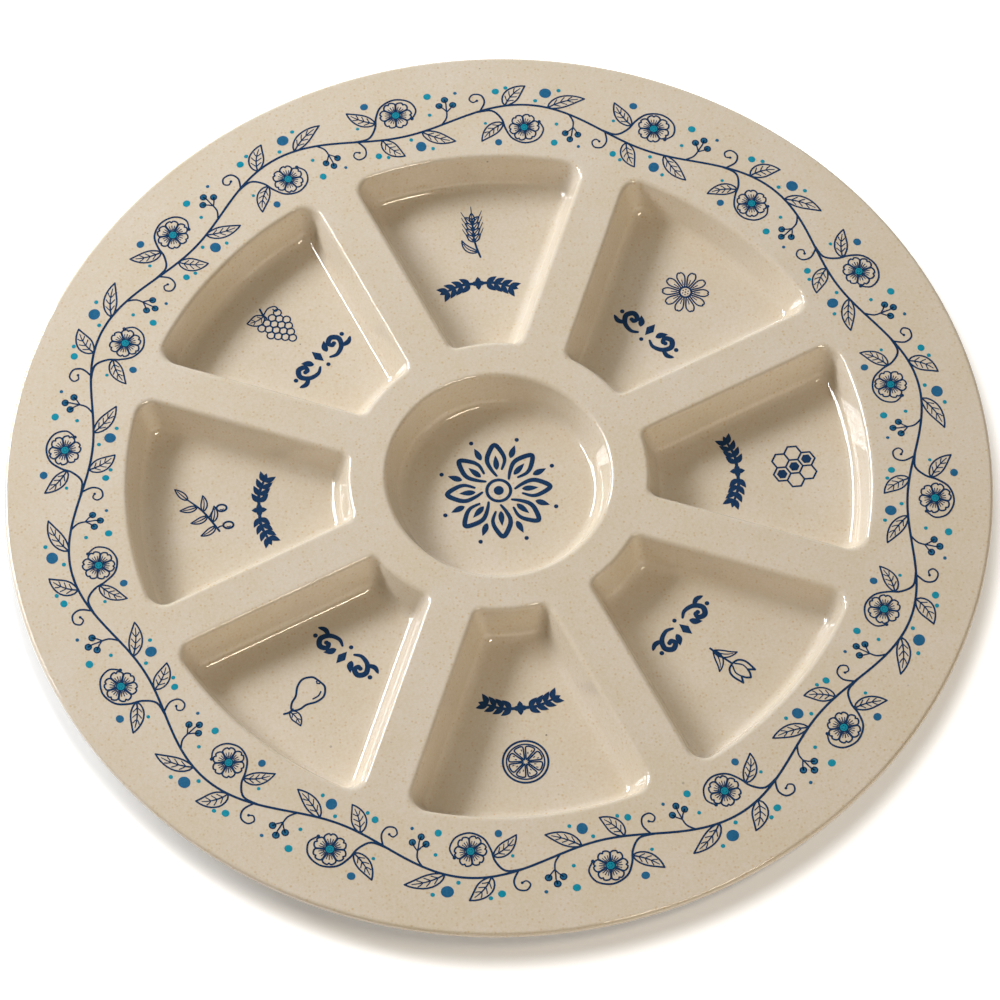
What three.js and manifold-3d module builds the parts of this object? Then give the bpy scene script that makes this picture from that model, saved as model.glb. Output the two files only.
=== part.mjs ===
// Round divided serving plate, compression moulded in one shell: eight wedge wells around one round
// well, under a broad flat rim, with printed decal foils pressed onto the flat faces.
// Millimetres, +Z up. The origin is the middle of the plane on which the undersides of the wells rest.
// Well 1 points along +Y and the others follow it anticlockwise.
import * as THREE from "three";
import { mergeVertices } from "three/addons/utils/BufferGeometryUtils.js";
import Module from "manifold-3d";

// Shell
const PLATE_RADIUS = 165; // a plate 330 mm across
const WALL = 2.8; // moulded wall of the rim, the spokes, the well walls and the floors
const WELL_DEPTH = 12; // from the top face down to the floor of a well
const WALL_DRAFT_ANGLE = THREE.MathUtils.degToRad(20); // lean of a well wall from the vertical
const EDGE_ROUND = 1.3; // rounding of the rim's edge, above and below
const LIP_ROUND = 2; // where the top face bends into a well
const ROOT_ROUND = 1.2; // the same bend on the underside
const FLOOR_FILLET = 4; // where a well wall meets its floor

// Wedge wells, in plan, where the line of the wall meets the top face
const WELLS = 8;
const WELL_OUTER_RADIUS = 124.2; // outer arc of a wedge, from the plate's axis
const WELL_INNER_RADIUS = 50.3; // inner arc of a wedge
const SPOKE_WIDTH = 15.5; // top face left between two wells, with parallel sides
const OUTER_CORNER_LIP = 6; // corner radius beside the rim, at the lip
const OUTER_CORNER_FLOOR = 3.6; // the same corner at the floor
const INNER_CORNER_LIP = 3.8; // corner radius beside the centre well, at the lip
const INNER_CORNER_FLOOR = 3; // the same corner at the floor

// Round well in the middle
const CENTRE_WELL_RADIUS = 37.7;

// Decal foils
const FOIL = 0.15; // thickness of a foil
const RIM_FOIL_INNER_RADIUS = 127.5;
const RIM_FOIL_WIDTH = 27;
const FLOOR_FOIL_MARGIN = 2.5; // bare floor left around a well's foil

// Flats per round stretch
const RIM_FLATS = 80;
const CENTRE_FLATS = 48;
const EDGE_FLATS = 3;
const LIP_FLATS = 3;
const ROOT_FLATS = 2;
const FILLET_FLATS = 3;
const OUTER_ARC_FLATS = 5; // for half of a wedge's outer arc
const INNER_ARC_FLATS = 2; // for half of its inner arc
const CORNER_FLATS = 4;

const HEIGHT = WELL_DEPTH + WALL; // resting plane to top face
const PITCH = (2 * Math.PI) / WELLS;
const BEND = Math.PI / 2 - WALL_DRAFT_ANGLE; // turn from the face into a wall
const WALL_RUN = WALL / Math.cos(WALL_DRAFT_ANGLE); // thickness of a leaning wall, measured level
const WALL_RETREAT = WALL_RUN - WALL * Math.tan(WALL_DRAFT_ANGLE); // underside bend, behind the lip

const COMPOUND = { color: 0xd9c7ac, roughness: 0.32, metalness: 0 };
const PRINT = { color: 0x2b5f88, roughness: 0.35, metalness: 0 };

const wasm = await Module();
wasm.setup();

// A closed geometry as a solid that can be joined and cut.
function solidOf(geometry) {
  const bare = geometry.clone();
  bare.deleteAttribute("normal");
  bare.deleteAttribute("uv");
  const merged = mergeVertices(bare, 1e-4);
  return new wasm.Manifold(
    new wasm.Mesh({
      numProp: 3,
      vertProperties: new Float32Array(merged.attributes.position.array),
      triVerts: new Uint32Array(merged.index.array),
    }),
  );
}

// A solid back as a geometry with flat-shaded facets.
function geometryOf(solid) {
  const mesh = solid.getMesh();
  const geometry = new THREE.BufferGeometry();
  geometry.setAttribute("position", new THREE.BufferAttribute(mesh.vertProperties, 3));
  geometry.setIndex(new THREE.BufferAttribute(mesh.triVerts, 1));
  const facets = geometry.toNonIndexed();
  facets.computeVertexNormals();
  return facets;
}

// Points along an arc about a centre, both ends included.
function arc(centre, radius, from, to, flats) {
  const points = [];
  for (let i = 0; i <= flats; i += 1) {
    const angle = from + ((to - from) * i) / flats;
    points.push(
      new THREE.Vector2(
        centre.x + radius * Math.cos(angle),
        centre.y + radius * Math.sin(angle),
      ),
    );
  }
  return points;
}

// Corner radius at an inset from the lip: it goes evenly from the lip's to the floor's.
function cornerAt(lip, floor, inset) {
  const share = inset / (WELL_DEPTH * Math.tan(WALL_DRAFT_ANGLE));
  return lip + (floor - lip) * share;
}

// Plan outline of the wedge well on +Y, anticlockwise. inset moves it in from the lip, and skin says
// how much of that outline lies outside the well's own face, so that the corners stay concentric.
function wedgeOutline(inset, skin = 0) {
  const outer = WELL_OUTER_RADIUS - inset;
  const inner = WELL_INNER_RADIUS + inset;
  const outerCorner = cornerAt(OUTER_CORNER_LIP, OUTER_CORNER_FLOOR, inset + skin) + skin;
  const innerCorner = cornerAt(INNER_CORNER_LIP, INNER_CORNER_FLOOR, inset + skin) + skin;
  const half = SPOKE_WIDTH / 2 + inset;
  const along = new THREE.Vector2(Math.sin(PITCH / 2), Math.cos(PITCH / 2));
  const across = new THREE.Vector2(-along.y, along.x);
  const cornerCentre = (reach, radius) => {
    const out = Math.sqrt(reach ** 2 - (half + radius) ** 2);
    return along.clone().multiplyScalar(out).addScaledVector(across, half + radius);
  };
  const far = cornerCentre(outer - outerCorner, outerCorner);
  const near = cornerCentre(inner + innerCorner, innerCorner);
  const sideways = -PITCH / 2; // direction that faces the spoke
  const right = [
    ...arc(new THREE.Vector2(), inner, Math.PI / 2, near.angle(), INNER_ARC_FLATS).slice(0, -1),
    ...arc(near, innerCorner, near.angle() - Math.PI, sideways, CORNER_FLATS),
    ...arc(far, outerCorner, sideways, far.angle(), CORNER_FLATS),
    ...arc(new THREE.Vector2(), outer, far.angle(), Math.PI / 2, OUTER_ARC_FLATS).slice(1),
  ];
  const left = right
    .slice(1, -1)
    .reverse()
    .map((p) => new THREE.Vector2(-p.x, p.y));
  return [...right, ...left];
}

// The bends of a well from the top down, as levels { inset, z }. lipInset is where the line of the
// wall meets the plane at top.
function wallLevels(top, floor, lipInset, lip, fillet, lipFlats) {
  const levels = [];
  const lipCentre = lipInset - lip * Math.tan(BEND / 2);
  for (let i = 0; i <= lipFlats; i += 1) {
    const turn = (BEND * i) / lipFlats;
    levels.push({
      inset: lipCentre + lip * Math.sin(turn),
      z: top - lip * (1 - Math.cos(turn)),
    });
  }
  const foot = lipInset + (top - floor) * Math.tan(WALL_DRAFT_ANGLE);
  const filletCentre = foot + fillet * Math.tan(BEND / 2);
  for (let i = FILLET_FLATS; i >= 0; i -= 1) {
    const turn = (BEND * i) / FILLET_FLATS;
    levels.push({
      inset: filletCentre - fillet * Math.sin(turn),
      z: floor + fillet * (1 - Math.cos(turn)),
    });
  }
  return levels;
}

// The food side of every well, and the underside that follows it one wall further out.
const faceLevels = () => wallLevels(HEIGHT, WALL, 0, LIP_ROUND, FLOOR_FILLET, LIP_FLATS);
const underLevels = () =>
  wallLevels(WELL_DEPTH, 0, -WALL_RETREAT, ROOT_ROUND, FLOOR_FILLET + WALL, ROOT_FLATS);

// A closed loft through rings of equal point counts, from the top ring down.
function loft(rings) {
  const count = rings[0].points.length;
  const positions = rings.flatMap(({ points, z }) => points.flatMap((p) => [p.x, p.y, z]));
  const index = [];
  for (let r = 0; r + 1 < rings.length; r += 1) {
    for (let i = 0; i < count; i += 1) {
      const j = (i + 1) % count;
      const [a, b] = [r * count + i, r * count + j];
      const [c, d] = [a + count, b + count];
      index.push(a, c, b, b, c, d);
    }
  }
  const last = (rings.length - 1) * count;
  for (const [a, b, c] of THREE.ShapeUtils.triangulateShape(rings[0].points, [])) {
    index.push(a, b, c);
  }
  for (const [a, b, c] of THREE.ShapeUtils.triangulateShape(rings.at(-1).points, [])) {
    index.push(last + a, last + c, last + b);
  }
  const geometry = new THREE.BufferGeometry();
  geometry.setAttribute("position", new THREE.Float32BufferAttribute(positions, 3));
  geometry.setIndex(index);
  return geometry;
}

// One wedge well through its levels, with a straight neck on top that crosses the face it opens in.
function wedgeSolid(levels, neck, skin) {
  const rings = levels.map(({ inset, z }) => ({ points: wedgeOutline(inset, skin), z }));
  return solidOf(loft([{ points: rings[0].points, z: rings[0].z + neck }, ...rings]));
}

// The round centre well through the same levels.
function centreSolid(levels, neck) {
  const wall = levels.map(({ inset, z }) => new THREE.Vector2(CENTRE_WELL_RADIUS - inset, z));
  const top = levels[0].z + neck;
  const profile = [
    new THREE.Vector2(0, levels.at(-1).z),
    ...wall.reverse(),
    new THREE.Vector2(wall.at(-1).x, top),
    new THREE.Vector2(0, top),
  ];
  return solidOf(new THREE.LatheGeometry(profile, CENTRE_FLATS).rotateX(Math.PI / 2));
}

// The flat disc that the wells are sunk in, with its rounded edge.
function discSolid() {
  const low = new THREE.Vector2(PLATE_RADIUS - EDGE_ROUND, WELL_DEPTH + EDGE_ROUND);
  const high = new THREE.Vector2(PLATE_RADIUS - EDGE_ROUND, HEIGHT - EDGE_ROUND);
  const profile = [
    new THREE.Vector2(0, WELL_DEPTH),
    ...arc(low, EDGE_ROUND, -Math.PI / 2, 0, EDGE_FLATS),
    ...arc(high, EDGE_ROUND, 0, Math.PI / 2, EDGE_FLATS),
    new THREE.Vector2(0, HEIGHT),
  ];
  return solidOf(new THREE.LatheGeometry(profile, RIM_FLATS).rotateX(Math.PI / 2));
}

// The shell: disc, plus the outside of each well, minus its inside.
function plateBody() {
  const inside = faceLevels();
  const outside = underLevels();
  const cups = [centreSolid(outside, WALL / 2)];
  const hollows = [centreSolid(inside, WALL)];
  const cup = wedgeSolid(outside, WALL / 2, WALL_RUN);
  const hollow = wedgeSolid(inside, WALL, 0);
  for (let i = 0; i < WELLS; i += 1) {
    const turn = THREE.MathUtils.radToDeg(i * PITCH);
    cups.push(cup.rotate([0, 0, turn]));
    hollows.push(hollow.rotate([0, 0, turn]));
  }
  const shell = cups.reduce((sum, solid) => sum.add(solid), discSolid());
  return geometryOf(hollows.reduce((sum, solid) => sum.subtract(solid), shell));
}

// Inset of the flat part of a well's floor, and of the foil that lies on it.
const floorInset = faceLevels().at(-1).inset;
const foilInset = floorInset + FLOOR_FOIL_MARGIN;

function rimDecal() {
  const outer = RIM_FOIL_INNER_RADIUS + RIM_FOIL_WIDTH;
  const profile = [
    new THREE.Vector2(RIM_FOIL_INNER_RADIUS, 0),
    new THREE.Vector2(outer, 0),
    new THREE.Vector2(outer, FOIL),
    new THREE.Vector2(RIM_FOIL_INNER_RADIUS, FOIL),
    new THREE.Vector2(RIM_FOIL_INNER_RADIUS, 0),
  ];
  return new THREE.LatheGeometry(profile, RIM_FLATS).rotateX(Math.PI / 2);
}

function wellDecal() {
  const points = wedgeOutline(foilInset);
  return loft([
    { points, z: FOIL },
    { points, z: 0 },
  ]);
}

function centreDecal() {
  const shape = new THREE.Shape();
  shape.absarc(0, 0, CENTRE_WELL_RADIUS - foilInset, 0, 2 * Math.PI);
  return new THREE.ExtrudeGeometry(shape, {
    depth: FOIL,
    bevelEnabled: false,
    curveSegments: CENTRE_FLATS,
  });
}

function piece(name, geometry, finish, height = 0, turn = 0) {
  const mesh = new THREE.Mesh(geometry, new THREE.MeshStandardMaterial(finish));
  mesh.name = name;
  mesh.position.z = height;
  mesh.rotation.z = turn;
  return mesh;
}

const plate = new THREE.Group();
plate.add(piece("plate_body", plateBody(), COMPOUND));
plate.add(piece("rim_decal", rimDecal(), PRINT, HEIGHT));
plate.add(piece("centre_decal", centreDecal(), PRINT, WALL));
for (let i = 0; i < WELLS; i += 1) {
  plate.add(piece(`well_decal_${i + 1}`, wellDecal(), PRINT, WALL, i * PITCH));
}

export default plate;
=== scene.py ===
"""Looks of the round divided serving plate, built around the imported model.

Metres, in the plate's own frame: the origin is the middle of the resting plane, +Z is up, and well 1
points along +Y. Sizes are written in millimetres and turned to metres where a mesh is made.
"""

import logging
import math
from dataclasses import dataclass, field
from enum import Enum
from typing import Callable

import bpy
from mathutils import Matrix, Vector
from mathutils.geometry import delaunay_2d_cdt


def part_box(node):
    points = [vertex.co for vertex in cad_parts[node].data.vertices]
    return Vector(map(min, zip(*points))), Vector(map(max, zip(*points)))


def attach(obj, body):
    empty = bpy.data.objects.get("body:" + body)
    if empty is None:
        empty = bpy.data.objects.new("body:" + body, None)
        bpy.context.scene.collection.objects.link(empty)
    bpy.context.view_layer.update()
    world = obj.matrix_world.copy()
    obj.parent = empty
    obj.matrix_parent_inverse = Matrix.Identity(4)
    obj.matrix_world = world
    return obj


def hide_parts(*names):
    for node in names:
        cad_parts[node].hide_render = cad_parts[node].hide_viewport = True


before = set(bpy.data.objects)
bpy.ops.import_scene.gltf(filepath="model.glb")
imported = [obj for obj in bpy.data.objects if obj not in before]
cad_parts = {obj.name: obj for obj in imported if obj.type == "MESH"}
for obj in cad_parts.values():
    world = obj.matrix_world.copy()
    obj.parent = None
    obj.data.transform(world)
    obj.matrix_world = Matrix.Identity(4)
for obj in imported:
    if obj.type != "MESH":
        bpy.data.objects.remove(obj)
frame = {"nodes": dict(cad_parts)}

log = logging.getLogger("plate")

MM = 0.001
ROOT = "root"
WELLS = 8
PITCH = 2 * math.pi / WELLS
INK_WELD = 0.004
JOIN_NEAR = 1e-6
LEAST_AREA = 1e-4

Point = tuple[float, float]
Loop = list[Point]
Spot = tuple[float, float, float]
Widths = tuple[float, float, float]
Tone = tuple[float, float, float]
Socket = bpy.types.NodeSocket

WHITE: Tone = (1.0, 1.0, 1.0)


def polar(radius: float, angle: float) -> Point:
    """A point at a radius and an angle from +X, in the plan of the plate."""
    return radius * math.cos(angle), radius * math.sin(angle)


def turned(points: Loop, angle: float) -> Loop:
    """Points turned about the origin."""
    cos, sin = math.cos(angle), math.sin(angle)
    return [(cos * x - sin * y, sin * x + cos * y) for x, y in points]


def moved(points: Loop, shift: Point) -> Loop:
    """Points moved in plan."""
    return [(x + shift[0], y + shift[1]) for x, y in points]


def arc(centre: Point, radius: float, start: float, end: float, flats: int) -> Loop:
    """Points along an arc, both ends included.

    Args:
        centre: Middle of the arc.
        radius: Its radius.
        start: Angle of the first point.
        end: Angle of the last point.
        flats: How many straight stretches the arc gets.

    Returns:
        The points, in order.
    """
    steps = [start + (end - start) * i / flats for i in range(flats + 1)]
    return [(centre[0] + radius * math.cos(a), centre[1] + radius * math.sin(a)) for a in steps]


def circle(centre: Point, radius: float, flats: int) -> Loop:
    """Points round a circle, the first one not repeated."""
    return arc(centre, radius, 0, 2 * math.pi, flats)[:-1]


def smooth(knots: Loop, steps: int = 6, closed: bool = False) -> Loop:
    """A smooth line through its knots.

    Args:
        knots: Points that the line passes.
        steps: Points from one knot to the next.
        closed: Whether the line returns to its first knot.

    Returns:
        Points along the line, without the first one again at the end of a closed line.
    """
    count = len(knots)
    found: Loop = []
    for i in range(count if closed else count - 1):
        reach = [i + k if closed else min(max(i + k, 0), count - 1) for k in (-1, 0, 1, 2)]
        near = [knots[k % count] for k in reach]
        for s in range(steps):
            t = s / steps
            weights = (
                (-t + 2 * t**2 - t**3) / 2,
                (2 - 5 * t**2 + 3 * t**3) / 2,
                (t + 4 * t**2 - 3 * t**3) / 2,
                (-(t**2) + t**3) / 2,
            )
            x, y = (sum(w * q[axis] for w, q in zip(weights, near)) for axis in (0, 1))
            found.append((x, y))
    return found if closed else [*found, knots[-1]]


def mirrored(half: Loop) -> Loop:
    """A line that ends on the X axis, followed by its mirror image on the other side, run back."""
    return [*half, *[(x, -y) for x, y in reversed(half[:-1])]]


def on_side(points: Loop, way: int) -> Loop:
    """Points as they are where way is 1, and mirrored across the Y axis where it is -1."""
    return [(x * way, y) for x, y in points]


def rectangle(low: Point, high: Point) -> Loop:
    """The corners of an upright rectangle, anticlockwise from the lowest left one."""
    return [low, (high[0], low[1]), high, (low[0], high[1])]


def within(x: float, y: float, loop: Loop) -> bool:
    """Whether a plan point lies inside a closed loop."""
    inside = False
    for (x0, y0), (x1, y1) in zip(loop, loop[1:] + loop[:1]):
        if (y0 > y) != (y1 > y) and x < x0 + (y - y0) * (x1 - x0) / (y1 - y0):
            inside = not inside
    return inside


def piece_from(name: str, mesh: bpy.types.Mesh) -> bpy.types.Object:
    """A new object at the origin that holds a finished mesh."""
    piece = bpy.data.objects.new(name, mesh)
    bpy.context.scene.collection.objects.link(piece)
    return piece


@dataclass
class Surface:
    """Vertices and faces in millimetres, gathered part by part."""

    spots: list[Spot] = field(default_factory=list)
    faces: list[tuple[int, ...]] = field(default_factory=list)

    def ring(self, points: Loop, z: float) -> list[int]:
        """Adds points at one height and gives their indices."""
        first = len(self.spots)
        self.spots.extend((x, y, z) for x, y in points)
        return list(range(first, len(self.spots)))

    def wall(self, rings: list[list[int]], closed: bool, up: bool) -> None:
        """Joins rings of equal count by quads, each ring to the next.

        Args:
            rings: The rings, walked anticlockwise, from the top down or from the inside out.
            closed: Whether the last point of a ring joins its first.
            up: Whether the quads keep the walk's turn, as in a well's face, or are turned over.
        """
        for upper, lower in zip(rings, rings[1:]):
            first, second = (upper, lower) if up else (lower, upper)
            count = len(first)
            for i in range(count if closed else count - 1):
                j = (i + 1) % count
                self.faces.append((first[i], first[j], second[j], second[i]))

    def fill(self, loops: list[list[int]], inside: Callable[[float, float], bool], up: bool) -> None:
        """Fills the flat stretch between loops with triangles.

        Args:
            loops: Indices of each closed loop that bounds the stretch.
            inside: Says of a plan point whether it lies in the stretch.
            up: Whether the triangles face up.
        """
        used = [i for loop in loops for i in loop]
        flat = [Vector(self.spots[i][:2]) for i in used]
        edges, first = [], 0
        for loop in loops:
            edges.extend((first + i, first + (i + 1) % len(loop)) for i in range(len(loop)))
            first += len(loop)
        points, _, triangles, origins, _, _ = delaunay_2d_cdt(flat, edges, [], 0, JOIN_NEAR)
        back = [used[o[0]] for o in origins]
        for triangle in triangles:
            middle = sum((points[i] for i in triangle), Vector((0, 0))) / 3
            if inside(middle.x, middle.y):
                corners = [back[i] for i in triangle]
                self.faces.append(tuple(corners if up else reversed(corners)))

    def mesh(self, name: str) -> bpy.types.Mesh:
        """The surface as a mesh in metres."""
        made = bpy.data.meshes.new(name)
        made.from_pydata([(x * MM, y * MM, z * MM) for x, y, z in self.spots], [], self.faces)
        made.update()
        return made


@dataclass(frozen=True)
class RoundRepeat:
    """Repeats a mesh evenly about the plate's axis, by a Geometry Nodes tree that all pieces share."""

    count: int
    weld: float
    smooth: bool

    TREE = "round_repeat"

    def tree(self) -> bpy.types.GeometryNodeTree:
        """The tree, built on its first use, with the repeat's sizes and the material as inputs."""
        if self.TREE in bpy.data.node_groups:
            return bpy.data.node_groups[self.TREE]
        tree = bpy.data.node_groups.new(self.TREE, "GeometryNodeTree")
        tree.is_modifier = True
        for name, kind in (
            ("Geometry", "Geometry"),
            ("Count", "Int"),
            ("Weld Distance", "Float"),
            ("Smooth", "Bool"),
            ("Material", "Material"),
        ):
            tree.interface.new_socket(name, in_out="INPUT", socket_type=f"NodeSocket{kind}")
        tree.interface.new_socket("Geometry", in_out="OUTPUT", socket_type="NodeSocketGeometry")
        add = tree.nodes.new
        start, end = add("NodeGroupInput"), add("NodeGroupOutput")
        points, index = add("GeometryNodePoints"), add("GeometryNodeInputIndex")
        share, angle = add("ShaderNodeMath"), add("ShaderNodeMath")
        share.operation, angle.operation = "DIVIDE", "MULTIPLY"
        angle.inputs[1].default_value = 2 * math.pi
        euler, turn = add("ShaderNodeCombineXYZ"), add("FunctionNodeEulerToRotation")
        place, real = add("GeometryNodeInstanceOnPoints"), add("GeometryNodeRealizeInstances")
        weld, shade = add("GeometryNodeMergeByDistance"), add("GeometryNodeSetShadeSmooth")
        paint = add("GeometryNodeSetMaterial")
        for source, target in (
            (start.outputs["Count"], points.inputs["Count"]),
            (index.outputs["Index"], share.inputs[0]),
            (start.outputs["Count"], share.inputs[1]),
            (share.outputs[0], angle.inputs[0]),
            (angle.outputs[0], euler.inputs["Z"]),
            (euler.outputs[0], turn.inputs[0]),
            (points.outputs[0], place.inputs["Points"]),
            (start.outputs["Geometry"], place.inputs["Instance"]),
            (turn.outputs[0], place.inputs["Rotation"]),
            (place.outputs[0], real.inputs[0]),
            (real.outputs[0], weld.inputs["Geometry"]),
            (start.outputs["Weld Distance"], weld.inputs["Distance"]),
            (weld.outputs[0], shade.inputs["Geometry"]),
            (start.outputs["Smooth"], shade.inputs["Shade Smooth"]),
            (shade.outputs[0], paint.inputs["Geometry"]),
            (start.outputs["Material"], paint.inputs["Material"]),
            (paint.outputs[0], end.inputs[0]),
        ):
            tree.links.new(source, target)
        return tree

    def apply(self, name: str, mesh: bpy.types.Mesh, material: bpy.types.Material) -> bpy.types.Object:
        """Runs the tree on a mesh.

        Args:
            name: Name of the piece that is made.
            mesh: What is repeated.
            material: The finish of the piece.

        Returns:
            The piece, with a plain mesh.
        """
        mesh.materials.append(material)
        holder = piece_from(f"{name}_holder", mesh)
        modifier = holder.modifiers.new(self.TREE, "NODES")
        modifier.node_group = self.tree()
        values = {
            "Count": self.count,
            "Weld Distance": self.weld * MM,
            "Smooth": self.smooth,
            "Material": material,
        }
        for item in modifier.node_group.interface.items_tree:
            if item.in_out == "INPUT" and item.name in values:
                modifier[item.identifier] = values[item.name]
        graph = bpy.context.evaluated_depsgraph_get()
        result = bpy.data.meshes.new_from_object(holder.evaluated_get(graph), depsgraph=graph)
        bpy.data.objects.remove(holder)
        result.name = name
        return piece_from(name, result)


@dataclass(frozen=True)
class Bend:
    """One side of a well's wall, followed from the face down to the floor."""

    top: float
    floor: float
    draft: float
    lip_inset: float
    lip_round: float
    fillet: float
    lip_flats: int
    fillet_flats: int

    def levels(self) -> list[tuple[float, float]]:
        """Inset from the lip and height of each ring, from the top down."""
        turn = math.pi / 2 - self.draft
        lip_centre = self.lip_inset - self.lip_round * math.tan(turn / 2)
        foot = self.lip_inset + (self.top - self.floor) * math.tan(self.draft)
        fillet_centre = foot + self.fillet * math.tan(turn / 2)
        found = []
        for i in range(self.lip_flats + 1):
            a = turn * i / self.lip_flats
            found.append((
                lip_centre + self.lip_round * math.sin(a),
                self.top - self.lip_round * (1 - math.cos(a)),
            ))
        for i in range(self.fillet_flats, -1, -1):
            a = turn * i / self.fillet_flats
            found.append((
                fillet_centre - self.fillet * math.sin(a),
                self.floor + self.fillet * (1 - math.cos(a)),
            ))
        return found


@dataclass(frozen=True)
class Wedge:
    """Plan outline of a wedge well, with its axis on +Y."""

    full_inset: float
    outer_radius: float = 124.2
    inner_radius: float = 50.3
    spoke_width: float = 15.5
    outer_corner: tuple[float, float] = (6.0, 3.6)
    inner_corner: tuple[float, float] = (3.8, 3.0)
    arc_flats: int = 20
    inner_flats: int = 7
    corner_flats: int = 9
    side_flats: int = 4

    def corner(self, pair: tuple[float, float], inset: float) -> float:
        """Corner radius at an inset, between the lip's and the floor's."""
        return pair[0] + (pair[1] - pair[0]) * inset / self.full_inset

    def outline(self, inset: float, skin: float = 0.0) -> Loop:
        """The outline moved in from the lip, anticlockwise.

        Args:
            inset: How far the outline lies inside the lip's.
            skin: How much of it lies outside the food side's wall, so that corners stay concentric.

        Returns:
            Its points, equally many for every inset.
        """
        outer, inner = self.outer_radius - inset, self.inner_radius + inset
        outer_corner = self.corner(self.outer_corner, inset + skin) + skin
        inner_corner = self.corner(self.inner_corner, inset + skin) + skin
        half = self.spoke_width / 2 + inset
        along = Vector((math.sin(PITCH / 2), math.cos(PITCH / 2)))
        across = Vector((-along.y, along.x))

        def corner_centre(reach: float, radius: float) -> Vector:
            """Centre of a corner's arc, which touches the side at a distance from the spoke."""
            out = math.sqrt(reach**2 - (half + radius) ** 2)
            return along * out + across * (half + radius)

        far = corner_centre(outer - outer_corner, outer_corner)
        near = corner_centre(inner + inner_corner, inner_corner)
        far_angle, near_angle = math.atan2(far.y, far.x), math.atan2(near.y, near.x)
        sideways = -PITCH / 2
        low = arc(tuple(near), inner_corner, near_angle - math.pi, sideways, self.corner_flats)
        high = arc(tuple(far), outer_corner, sideways, far_angle, self.corner_flats)
        side = [
            tuple(Vector(low[-1]).lerp(Vector(high[0]), i / self.side_flats))
            for i in range(1, self.side_flats)
        ]
        right = [
            *arc((0, 0), inner, math.pi / 2, near_angle, self.inner_flats)[:-1],
            *low,
            *side,
            *high,
            *arc((0, 0), outer, far_angle, math.pi / 2, self.arc_flats)[1:],
        ]
        return right + [(-x, y) for x, y in reversed(right[1:-1])]


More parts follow.
